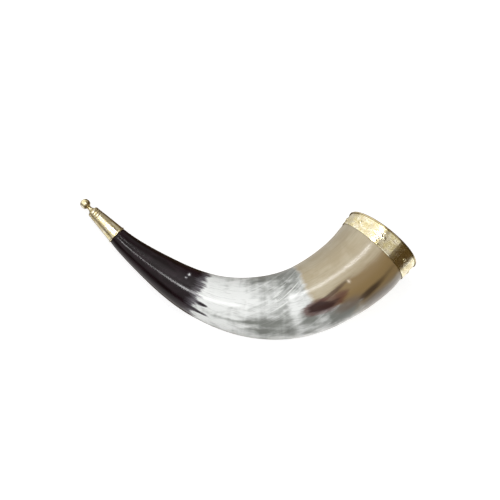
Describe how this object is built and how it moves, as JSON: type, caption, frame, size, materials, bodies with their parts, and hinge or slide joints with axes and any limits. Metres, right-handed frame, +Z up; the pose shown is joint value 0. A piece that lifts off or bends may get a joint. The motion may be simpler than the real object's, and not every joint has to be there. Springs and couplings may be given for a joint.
{
  "type": "drinking horn",
  "caption": "Curved, polished cattle horn, hollow from its mouth, with a nailed, chased brass band and a brass lip round the mouth and a turned brass cap with a ball finial over the tip.",
  "frame": {"origin": "on the table, below the middle of the bounding box of the lying horn", "axes": "+X from the tip end towards the mouth end, +Y towards the hollow side of the bend, +Z up from the table that the horn lies on"},
  "size_m": [0.2994, 0.1298, 0.075],
  "materials": {
    "horn": "polished",
    "brass": "polished",
    "cement": "matte"
  },
  "bodies": {
    "root": {"horn_body": "horn", "rim_band": "brass", "rim_lip": "brass", "rim_nails": "brass", "tip_cap": "brass", "tip_bedding": "cement", "tip_finial": "brass"}
  },
  "joints": []
}
